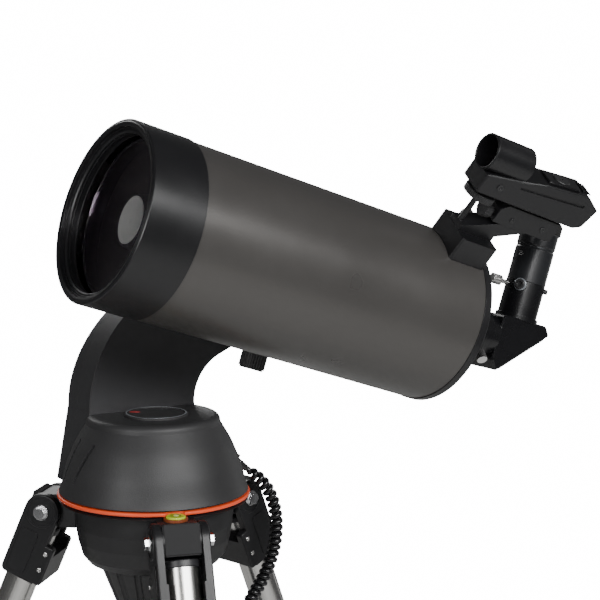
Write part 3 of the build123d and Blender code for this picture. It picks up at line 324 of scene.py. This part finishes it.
LEG_AXES = [joint_axis(f"leg_extend_{i}") for i in (1, 2, 3)]
M = {
    "base_black": surface("base_black", (0.014, 0.014, 0.015), 0.42, 1400, 0.10),
    "dome_black": surface("dome_black", (0.030, 0.030, 0.031), 0.50, 1150, 0.30),
    "arm_black": surface("arm_black", (0.032, 0.032, 0.034), 0.50, 1200, 0.16),
    "ring_orange": surface("ring_orange", (0.95, 0.10, 0.030), 0.38, 900, 0.04, 0.05),
    "level_green": surface("level_green", (0.55, 0.70, 0.05), 0.15, 300, 0.0, 0.15),
    "gear_white": surface("gear_white", (0.70, 0.69, 0.64), 0.45, 800, 0.05),
    "steel_chrome": knurled_metal("steel_chrome", (0.72, 0.72, 0.73), 0.20),
    "joint_grey": surface("joint_grey", (0.30, 0.31, 0.325), 0.42, 1200, 0.12),
    "lug_grey": surface("lug_grey", (0.026, 0.026, 0.027), 0.60, 1200, 0.12, 0.1, 0.0, 0.15),
    "bracket_black": surface("bracket_black", (0.014, 0.014, 0.015), 0.36, 1200, 0.10, 0.1, 0.0, 0.35),
    "joint_black": surface("joint_black", (0.026, 0.026, 0.028), 0.42, 1200, 0.12),
    "foot_rubber": surface("foot_rubber", (0.018, 0.018, 0.018), 0.75, 700, 0.3),
    "tray_black": surface("tray_black", (0.024, 0.024, 0.025), 0.5, 1100, 0.25),
    "tube_paint": surface("tube_paint", (0.083, 0.079, 0.075), 0.32, 1500, 0.05, 0.03, 0.35, 0.5),
    "cell_black": surface("cell_black", (0.008, 0.008, 0.009), 0.36, 1500, 0.08),
    "cell_inside": surface("cell_inside", (0.008, 0.008, 0.009), 0.65, 1500, 0.1),
    "bar_black": surface("bar_black", (0.014, 0.014, 0.015), 0.42, 1500, 0.05, 0.1, 0.4),
    "machine_steel": brushed("machine_steel", (0.50, 0.50, 0.51), 0.3, "y"),
    "lens_glass": lens_coating("lens_glass"),
    "mirror_glass": knurled_metal("mirror_glass", (0.80, 0.81, 0.83), 0.05),
    "knob_black": surface("knob_black", (0.020, 0.020, 0.021), 0.42, 1300, 0.12),
    "screw_chrome": knurled_metal("screw_chrome", (0.78, 0.77, 0.76), 0.16),
    "diagonal_black": surface("diagonal_black", (0.006, 0.006, 0.007), 0.26, 1200, 0.04),
    "eyepiece_black": surface("eyepiece_black", (0.016, 0.017, 0.019), 0.30, 1200, 0.06),
    "cup_rubber": surface("cup_rubber", (0.016, 0.016, 0.016), 0.7, 900, 0.2),
    "finder_black": surface("finder_black", (0.007, 0.007, 0.008), 0.36, 1200, 0.14),
    "battery": surface("battery", (0.08, 0.08, 0.10), 0.4, 500, 0.05, 0.3),
    "board_green": surface("board_green", (0.02, 0.16, 0.05), 0.4, 500, 0.1, 0.3),
    "motor_steel": knurled_metal("motor_steel", (0.45, 0.45, 0.45), 0.35),
    "switch_black": surface("switch_black", (0.02, 0.02, 0.02), 0.25, 800, 0.03),
    "hand_grey": surface("hand_grey", (0.030, 0.030, 0.033), 0.48, 1100, 0.25),
    "key_rubber": surface("key_rubber", (0.20, 0.20, 0.22), 0.6, 900, 0.1),
    "cord_black": surface("cord_black", (0.010, 0.010, 0.011), 0.26, 700, 0.04),
    "mark_red": surface("mark_red", (0.55, 0.02, 0.02), 0.35, 700, 0.02),
    "mark_white": surface("mark_white", (0.62, 0.62, 0.60), 0.5, 900, 0.05),
    "spot_silver": surface("spot_silver", (0.52, 0.55, 0.51), 0.45, 900, 0.03, 0.08, 0.2),
    "seat_brown": surface("seat_brown", (0.22, 0.05, 0.015), 0.35, 700, 0.03),
    "bubble_pale": surface("bubble_pale", (0.80, 0.88, 0.30), 0.1, 300, 0.0, 0.1),
    "trim_grey": surface("trim_grey", (0.42, 0.45, 0.48), 0.28, 900, 0.03, 0.1, 0.6),
    "band_grey": surface("band_grey", (0.045, 0.047, 0.050), 0.30, 900, 0.03, 0.1, 0.6),
    "display_glass": surface("display_glass", (0.05, 0.008, 0.008), 0.08, 500, 0.0),
    "eye_glass": surface("eye_glass", (0.02, 0.015, 0.035), 0.04, 300, 0.0),
    "sight_red": surface("sight_red", (0.06, 0.010, 0.012), 0.06, 300, 0.0),
}
for i, axis in enumerate(LEG_AXES, 1):
    M[f"leg_steel_{i}"] = drawn_tube(f"leg_steel_{i}", (0.62, 0.61, 0.59), 0.24, axis)

PER_NODE = {"leg_tube": "leg_steel", "leg_extension": "leg_steel"}
OWN = {f"leg_bracket_{i}": "bracket_black" for i in (1, 2, 3)}


def dress_cad():
    """Gives every carried-over CAD node its material."""
    slots = {part["node"]: part["material_slot"] for part in RECORD["subparts"]}
    for name, obj in frame["nodes"].items():
        stem, _, number = name.rpartition("_")
        key = f"{PER_NODE[stem]}_{number}" if stem in PER_NODE else OWN.get(name, slots[name])
        for index in range(len(obj.material_slots)):
            obj.material_slots[index].material = M[key]
        if not obj.material_slots:
            obj.data.materials.append(M[key])


dress_cad()


# ---------------------------------------------------------------- curly cord
CORD_ROUTE = (
    (0.0843, -0.0089, 0.0110), (0.0968, -0.0120, 0.0012), (0.1062, -0.0166, -0.0150),
    (0.1084, -0.0215, -0.0376), (0.1028, -0.0252, -0.0610), (0.0912, -0.0281, -0.0819),
    (0.0744, -0.0304, -0.1005),
)  # from the plug, heights from the base ring
CORD_HANGING = (
    (0.0660, 0.0090, -0.1280), (0.0600, -0.0190, -0.1560), (0.0555, -0.0450, -0.1860),
    (0.0526, -0.0685, -0.2170), (0.0512, -0.0818, -0.2490),
)  # beside the column: out along the hand control, across it, height
SAG_R = 0.0425  # lowest bend of the cord
CORD_R = 0.006  # outside of the coil
WIRE_R = 0.0025


def beside_column(out, across, height):
    """Point in front of the hand control: out, across and height from the base ring."""
    aside = Vector((0, 0, 1)).cross(OUT)
    return OUT * out + aside * across + Vector((0, 0, RING_Z + height))


def cord_points():
    """The cord's route, the same points as the CAD tube's."""
    points = [Vector((x, y, RING_Z + z)) for x, y, z in CORD_ROUTE]
    points += [beside_column(*place) for place in CORD_HANGING]
    # the lowest bend is half a turn of a polygon round a circle, and ends under the hand control
    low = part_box("hand_control")[0].z - RING_Z
    reach = SAG_R / cos(radians(15))
    for angle in (15, 45, 75, 105, 135, 165):
        a = radians(angle)
        out = 0.043 + 0.008 * cos(a) * reach / SAG_R
        across = -0.0415 - 0.0415 * cos(a) * reach / SAG_R
        points.append(beside_column(out, across, low - 0.0108 - sin(a) * reach))
    points.append(beside_column(0.035, 0, low))
    return points


def cord_line(points):
    """The route as a smooth line: the points that Blender draws along its NURBS spline."""
    curve = bpy.data.curves.new("cord_route", "CURVE")
    curve.dimensions = "3D"
    spline = curve.splines.new("NURBS")
    spline.points.add(len(points) - 1)
    for place, point in zip(spline.points, points):
        place.co = (*point, 1)
    spline.order_u = 3
    spline.use_endpoint_u = True
    spline.resolution_u = 24
    holder = bpy.data.objects.new("cord_route", curve)
    bpy.context.collection.objects.link(holder)
    mesh = bpy.data.meshes.new_from_object(holder)
    line = [vertex.co.copy() for vertex in mesh.vertices]
    bpy.data.objects.remove(holder)
    bpy.data.curves.remove(curve)
    bpy.data.meshes.remove(mesh)
    return line


def stepped(line, step):
    """Points along the line at equal steps, with their distance from its start."""
    places, along, wanted = [], 0.0, 0.0
    for here, after in zip(line, line[1:]):
        run = (after - here).length
        while wanted <= along + run and run > 0:
            places.append((wanted, here.lerp(after, (wanted - along) / run)))
            wanted += step
        along += run
    return places, along


def coil_pitch(s):
    """Pitch of the coil: stretched over the upper bend, closer where it hangs."""
    return 0.0053 + 0.0012 * max(0.0, 1 - s / 0.085) + 0.0001 * sin(s * 90)


def curly_cord():
    """The coiled wire, wound round the route's line."""
    line = cord_line(cord_points())
    step = 0.0004
    places, length = stepped(line, step)
    normal = Vector((0, 0, 1)).cross(places[1][1] - places[0][1]).normalized()
    turned, centres = 0.0, []
    for index, (s, point) in enumerate(places[:-1]):
        tangent = (places[index + 1][1] - point).normalized()
        normal = (normal - tangent * normal.dot(tangent)).normalized()
        ease = min(1.0, s / 0.012, (length - s) / 0.012)
        radius = (CORD_R - WIRE_R) * ease * ease * (3 - 2 * ease)
        turned += 2 * pi * step / coil_pitch(s)
        centres.append(point + (normal * cos(turned) + tangent.cross(normal) * sin(turned)) * radius)
    centres.append(places[-1][1])
    mesh = bpy.data.meshes.new("curly_cord_wire")
    bm = bmesh.new()
    sides, previous = 10, None
    normal = Vector((0, 0, 1)).cross(centres[1] - centres[0]).normalized()
    for index, centre in enumerate(centres):
        after = centres[min(index + 1, len(centres) - 1)]
        before = centres[max(index - 1, 0)]
        tangent = (after - before).normalized()
        normal = (normal - tangent * normal.dot(tangent)).normalized()
        binormal = tangent.cross(normal)
        ring = []
        for k in range(sides):
            a = 2 * pi * k / sides
            ring.append(bm.verts.new(centre + (normal * cos(a) + binormal * sin(a)) * WIRE_R))
        if previous:
            for k in range(sides):
                bm.faces.new((previous[k], previous[(k + 1) % sides], ring[(k + 1) % sides], ring[k]))
        else:
            bm.faces.new(ring[::-1])
        previous = ring
    bm.faces.new(previous)
    bm.to_mesh(mesh)
    bm.free()
    wire = link(mesh, "curly_cord_wire", M["cord_black"])
    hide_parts("curly_cord")
    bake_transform(wire)


curly_cord()


# ---------------------------------------------------------------- small pieces
MM = 0.001


def mm(*points):
    """Outline points given in millimetres."""
    return [(x * MM, y * MM) for x, y in points]


def rounded(width, height, radius, steps=5):
    """Outline of a rounded rectangle about the origin."""
    points = []
    for k, (x, y) in enumerate(((1, 1), (-1, 1), (-1, -1), (1, -1))):
        cx, cy = x * (width / 2 - radius), y * (height / 2 - radius)
        for j in range(steps + 1):
            a = pi / 2 * (k + j / steps)
            points.append((cx + radius * cos(a), cy + radius * sin(a)))
    return points


def screw(name, place, direction, radius, height, material, body):
    """Cap screw seated at the place, with a recess in its head."""
    x = Vector((0.3, 0.5, 0.81)).cross(direction)
    outline = mm(
        (0, height * 0.4), (radius * 0.42, height * 0.4), (radius * 0.5, height),
        (radius * 0.82, height), (radius, height * 0.75), (radius, -0.3), (0, -0.3),
    )
    return lathe(name, outline, frame_at(place, x, direction), M[material], body, segments=32)


def leg_place(i, along, inward, across):
    """Point on leg i, in millimetres from its hinge, with the leg's three directions."""
    hinge = joint_place(f"leg_fold_{i}")
    tangent, down = joint_axis(f"leg_fold_{i}"), LEG_AXES[i - 1]
    out = Vector((hinge.x, hinge.y, 0)).normalized()
    towards = -(out - down * out.dot(down)).normalized()
    place = hinge + (down * along + towards * inward + tangent * across) * MM
    return place, down, towards, tangent


def leg_details(i):
    body = f"leg_{i}"
    top, down, towards, tangent = leg_place(i, 0, 0, 0)
    plug = mm((0, 15.6), (14.0, 15.6), (14.9, 16.4), (14.9, 21), (14.3, 21.6), (0, 21.6))
    lathe(f"tube_plug_{i}", plug, frame_at(top, tangent, down), M["joint_black"], body)
    for side in (-1, 1):
        word = "a" if side < 0 else "b"
        face = leg_place(i, 0, 0, side * 22.5)[0]
        boss = mm((11.4, -0.2), (11.8, 0.5), (13.4, 0.5), (13.9, -0.2))
        place = frame_at(face, down, tangent * side)
        lathe(f"hinge_boss_{i}{word}", boss, place, M["bracket_black"], body)
        panel = rounded(0.040, 0.017, 0.004)
        middle = leg_place(i, 38, -3, side * 22.4)[0]
        prism(
            f"cheek_panel_{i}{word}", panel, frame_at(middle, down, tangent * side), 0.0007,
            M["bracket_black"], body, 0.0003,
        )
        for k, along in enumerate((32, 47), 1):
            place = leg_place(i, along, 17, side * 22.5)[0]
            name = f"bracket_screw_{i}{word}{k}"
            screw(name, place, tangent * side, 2.0, 1.0, "screw_chrome", body)
    out = Vector((top.x, top.y, 0)).normalized()
    face = mm((4.0, -14.0), (6.0, 2.0), (15.5, 8.0), (18.0, 6.6), (9.3, -17.0))
    side_on = frame_at(top - tangent * 0.0152, out, tangent)
    prism(f"lug_face_{i}", face, side_on, 0.0304, M["lug_grey"], "stand", 0.001)
    boot_end = frame_at(top, tangent, down)
    boot = mm((11.3, 770), (13.6, 771), (13.9, 774), (14.2, 800), (13.8, 803), (11.3, 803))
    lathe(f"foot_boot_{i}", boot, boot_end, M["foot_rubber"], f"extension_{i}")


def tube_details():
    front = tube_frame(0)
    steps = mm(
        (65.35, 3.4), (65.35, 7.8), (62.9, 7.8), (62.9, 6.9), (63.5, 6.6), (63.5, 6.1), (62.9, 5.8),
        (62.9, 4.4), (63.9, 3.4),
    )
    lathe("retaining_ring", steps, front, M["cell_black"], "tube", 160)
    lip = mm((67.2, 0.3), (68.6, -0.5), (70.2, -0.6), (71.4, 0.2), (71.0, 0.5), (67.6, 0.6))
    lathe("front_lip", lip, front, M["cell_black"], "tube", 160)
    spot = mm((0, 30.05), (10, 29.85), (19.5, 29.3), (19.5, 29.6), (10, 30.15), (0, 30.35))
    lathe("secondary_spot", spot, front, M["spot_silver"], "tube")
    baffle = mm((19.6, 30.0), (21.2, 29.6), (23.4, 40), (23.0, 40.2))
    lathe("secondary_baffle", baffle, front, M["cell_inside"], "tube")
    for k in range(3):
        a = radians(90 + 120 * k)
        place = tube_frame(0.3299) @ Vector((0.0655 * cos(a), 0.0655 * sin(a), 0))
        screw(f"rear_screw_{k + 1}", place, BACK, 2.6, 1.2, "knob_black", "tube")


def base_details():
    low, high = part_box("battery_cover")
    cover = Vector(((low.x + high.x) / 2, (low.y + high.y) / 2, high.z))
    trim = mm((24.2, -0.1), (24.2, 0.15), (25.2, 0.15), (25.5, -0.1))
    lathe("cover_trim", trim, Matrix.Translation(cover), M["trim_grey"], "battery_cover")
    mark = [(0.0045 * cos(radians(a)), 0.0022 * sin(radians(a))) for a in range(0, 360, 15)]
    at = frame_at(cover + Vector((-0.0126, 0.0142, -0.0008)), Vector((0.86, -0.51, 0)), Vector((0, 0, 1)))
    prism("cover_mark", mark, at, 0.0002, M["mark_red"], "battery_cover", 0)
    low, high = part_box("bubble_level")
    level = Matrix.Translation(((low.x + high.x) / 2, (low.y + high.y) / 2, high.z))
    seat = mm((8.15, -3.8), (8.15, -1.5), (9.4, -1.5), (9.8, -2.0), (9.8, -3.8))
    lathe("level_seat", seat, level, M["seat_brown"], "stand")
    circle = mm((3.6, 0.0), (3.6, 0.08), (4.1, 0.08), (4.1, 0.0))
    lathe("level_circle", circle, level, M["knob_black"], "stand")
    bubble = mm((0, 0.0), (2.2, 0.0), (2.0, 0.22), (0, 0.3))
    off_centre = level @ Matrix.Translation((0.0006, 0.0004, 0))
    lathe("level_bubble", bubble, off_centre, M["bubble_pale"], "stand")
    aside = Vector((0, 0, 1)).cross(OUT)
    low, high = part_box("hand_control")
    window = frame_at(OUT * 0.0469 + Vector((0, 0, high.z - 0.024)), aside, OUT)
    pane = rounded(0.0452, 0.0212, 0.0018)
    prism("hand_display", pane, window, 0.0006, M["display_glass"], "stand", 0.0002)


def eye_place(height, angle, radius):
    """Point round the eyepiece axis and its outward direction, angle from -Y towards the rear."""
    base = REAR + BACK * (EYE_S - REAR_S) + UP * height * MM
    out = -SIDE * cos(radians(angle)) + BACK * sin(radians(angle))
    return base + out * radius * MM, out


def eyepiece_details():
    place, out = eye_place(50.5, -55, 17.4)
    ring = mm((0, -0.4), (0, 0.5), (5.2, 0.5), (5.5, 0.2), (5.5, -2.0), (0, -2.0))
    lathe("set_screw_ring", ring, frame_at(place, UP, out), M["trim_grey"], "diagonal", 40)
    screw("set_screw", place + out * 0.0004, out, 4.5, 2.4, "knob_black", "diagonal")
    place, out = eye_place(50.5, 42, 17.3)
    screw("lock_screw", place, out, 2.3, 3.4, "knob_black", "diagonal")
    axis = frame_at(eye_place(0, 0, 0)[0], SIDE, UP)
    lens = mm((0, 96.4), (8.9, 96.4), (8.9, 97.4), (5.5, 98.4), (0, 98.8))
    lathe("eye_lens", lens, axis, M["eye_glass"], "eyepiece", 48)
    cup = mm(
        (17.4, 100.6), (18.6, 101.2), (18.9, 102), (18.5, 103), (18.9, 104), (18.5, 105), (18.9, 106),
        (18.5, 107), (18.9, 108), (18.4, 109.6), (17.4, 110.4),
    )
    lathe("eyecup_rubber", cup, axis, M["cup_rubber"], "eyepiece")
    band = mm((16.5, 84.9), (16.75, 85.1), (16.75, 86.7), (16.5, 86.9))
    lathe("eyepiece_band", band, axis, M["band_grey"], "eyepiece")
    place, out = eye_place(76, -80, 17.42)
    curve = bpy.data.curves.new("focal_number", "FONT")
    curve.body = "25"
    curve.size = 0.0052
    curve.extrude = 0.00004
    curve.align_x = "CENTER"
    holder = bpy.data.objects.new("focal_number_text", curve)
    bpy.context.collection.objects.link(holder)
    mesh = bpy.data.meshes.new_from_object(holder)
    bpy.data.objects.remove(holder)
    mesh.transform(frame_at(place, UP.cross(out), out))
    mesh.materials.clear()
    number = link(mesh, "focal_number", M["mark_white"], smooth=False)
    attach(number, "eyepiece")
    slope = (BACK * 0.0495 + UP * 0.0435).normalized()
    outward = slope.cross(SIDE)
    if outward.dot(UP) > 0:
        outward = -outward
    middle = FRONT + BACK * 0.41925 - UP * 0.00775 + outward * 0.0001
    plate = frame_at(middle, SIDE, outward)
    cover = rounded(0.031, 0.058, 0.003)
    prism("diagonal_plate", cover, plate, 0.0012, M["diagonal_black"], "diagonal")
    for k, (x, y) in enumerate(((-1, -1), (1, -1), (-1, 1), (1, 1)), 1):
        place = plate @ Vector((x * 0.0118, y * 0.0248, 0.0012))
        screw(f"plate_screw_{k}", place, outward, 1.6, 0.6, "screw_chrome", "diagonal")


def finder_place(s, out, across):
    """Point on the finder in millimetres: behind the front face, out from the tube's axis, across."""
    return FRONT + (BACK * s + FINDER_UP * out + FINDER_ACROSS * across) * MM


def finder_details():
    for k, (s, out) in enumerate(((325, 114.7), (357.7, 116.4)), 1):
        place = finder_place(s, out, -9.5)
        screw(f"block_screw_{k}", place, -FINDER_ACROSS, 2.2, 0.9, "knob_black", "tube")
    for side in (-1, 1):
        word = "a" if side < 0 else "b"
        place = finder_place(290, 140, 14 * side)
        outward = FINDER_ACROSS * side
        screw(f"finder_screw_{word}", place, outward, 2.9, 0.9, "knob_black", "finder")
    glass = mm((0, -0.6), (13.1, -0.6), (13.1, 0.6), (0, 0.6))
    tilt = (BACK + FINDER_UP * 0.2).normalized()
    place = frame_at(finder_place(299, 160, 0), FINDER_ACROSS, tilt)
    lathe("sight_glass", glass, place, M["sight_red"], "finder", 64)
    rim = mm(
        (13.2, -0.2), (13.5, -0.7), (14.5, -0.7), (15.1, 0.0), (15.1, 1.6), (14.9, 1.8), (14.9, 0.4),
        (13.2, 0.4),
    )
    place = frame_at(finder_place(268, 160, 0), FINDER_ACROSS, BACK)
    lathe("sight_rim", rim, place, M["finder_black"], "finder", 80)
    lid_up = (FINDER_UP - BACK * 0.08).normalized()
    lid = frame_at(finder_place(350, 158.2, 0), BACK, lid_up)
    panel = rounded(0.034, 0.020, 0.003)
    prism("finder_lid", panel, lid, 0.0022, M["finder_black"], "finder", 0.0007)
    cap = mm((0, 2.2), (1.2, 2.2), (1.2, 3.0), (7.2, 3.2), (7.8, 2.6), (7.8, 1.8), (0, 1.8))
    lathe("battery_cap", cap, lid, M["knob_black"], "finder", 48)
    for k in range(4):
        rib = frame_at(finder_place(371 + 2.6 * k, 160.4 - 0.2 * k, 0), BACK, FINDER_UP)
        bar = rounded(0.0012, 0.016, 0.0005, 2)
        prism(f"finder_rib_{k + 1}", bar, rib, 0.0012, M["finder_black"], "finder", 0.0003)


for number in (1, 2, 3):
    leg_details(number)
tube_details()
base_details()
eyepiece_details()
finder_details()


# ---------------------------------------------------------------- lights and floor
ROOM = 0.4  # brightness of the dim room
SEEN_WHITE = 16  # brightness that shows as plain white to the camera


def soft_light(name, place, target, size, power):
    data = bpy.data.lights.new(name, "AREA")
    data.shape = "RECTANGLE"
    data.size, data.size_y = size
    data.energy = power
    light = bpy.data.objects.new(name, data)
    light.matrix_world = frame_at(Vector(place), Vector((1, 0, 0.001)), Vector(place) - Vector(target))
    bpy.context.collection.objects.link(light)


def surround():
    """World that the camera sees as white, and that lights the telescope as a dim room with a pale floor."""
    world = bpy.data.worlds.new("surround")
    bpy.context.scene.world = world
    world.use_nodes = True
    tree = world.node_tree
    room = tree.nodes["Background"]
    source = tree.nodes.new("ShaderNodeTexCoord")
    split = tree.nodes.new("ShaderNodeSeparateXYZ")
    height = tree.nodes.new("ShaderNodeValToRGB")
    height.color_ramp.elements[0].position = 0.0
    height.color_ramp.elements[0].color = (0.30, 0.30, 0.30, 1)
    height.color_ramp.elements[1].position = 1.0
    height.color_ramp.elements[1].color = (0.16, 0.16, 0.165, 1)
    remap = tree.nodes.new("ShaderNodeMapRange")
    remap.inputs["From Min"].default_value = -1
    tree.links.new(source.outputs["Generated"], split.inputs["Vector"])
    tree.links.new(split.outputs["Z"], remap.inputs["Value"])
    tree.links.new(remap.outputs["Result"], height.inputs["Fac"])
    tree.links.new(height.outputs["Color"], room.inputs["Color"])
    room.inputs["Strength"].default_value = ROOM
    white = tree.nodes.new("ShaderNodeBackground")
    white.inputs["Color"].default_value = (1, 1, 1, 1)
    white.inputs["Strength"].default_value = SEEN_WHITE
    seen = tree.nodes.new("ShaderNodeLightPath")
    mix = tree.nodes.new("ShaderNodeMixShader")
    tree.links.new(seen.outputs["Is Camera Ray"], mix.inputs["Fac"])
    tree.links.new(room.outputs["Background"], mix.inputs[1])
    tree.links.new(white.outputs["Background"], mix.inputs[2])
    tree.links.new(mix.outputs["Shader"], tree.nodes["World Output"].inputs["Surface"])


def studio():
    """White surround, soft lights and a pale floor."""
    middle = (0.0, -0.05, 0.95)
    soft_light("key", (0.15, -2.05, 1.85), middle, (2.1, 0.42), 56)
    soft_light("left", (-2.0, -1.0, 1.45), middle, (0.7, 0.8), 19)
    soft_light("right", (1.6, 0.2, 1.1), middle, (0.8, 1.4), 2)
    soft_light("below", (0.1, -0.5, 0.15), (0.05, -0.1, 0.9), (1.0, 0.5), 0.1)
    soft_light("rear", (0.5, 2.3, 2.1), middle, (1.6, 1.0), 26)
    surround()
    mesh = bpy.data.meshes.new("floor")
    bm = bmesh.new()
    bmesh.ops.create_circle(bm, cap_ends=True, segments=96, radius=1.9)
    bm.transform(Matrix.Translation((0, 0, -0.0005)))
    bm.to_mesh(mesh)
    bm.free()
    floor = link(mesh, "floor", surface("floor_pale", (0.74, 0.74, 0.73), 0.8, 60, 0.02, 0.02), smooth=False)


studio()
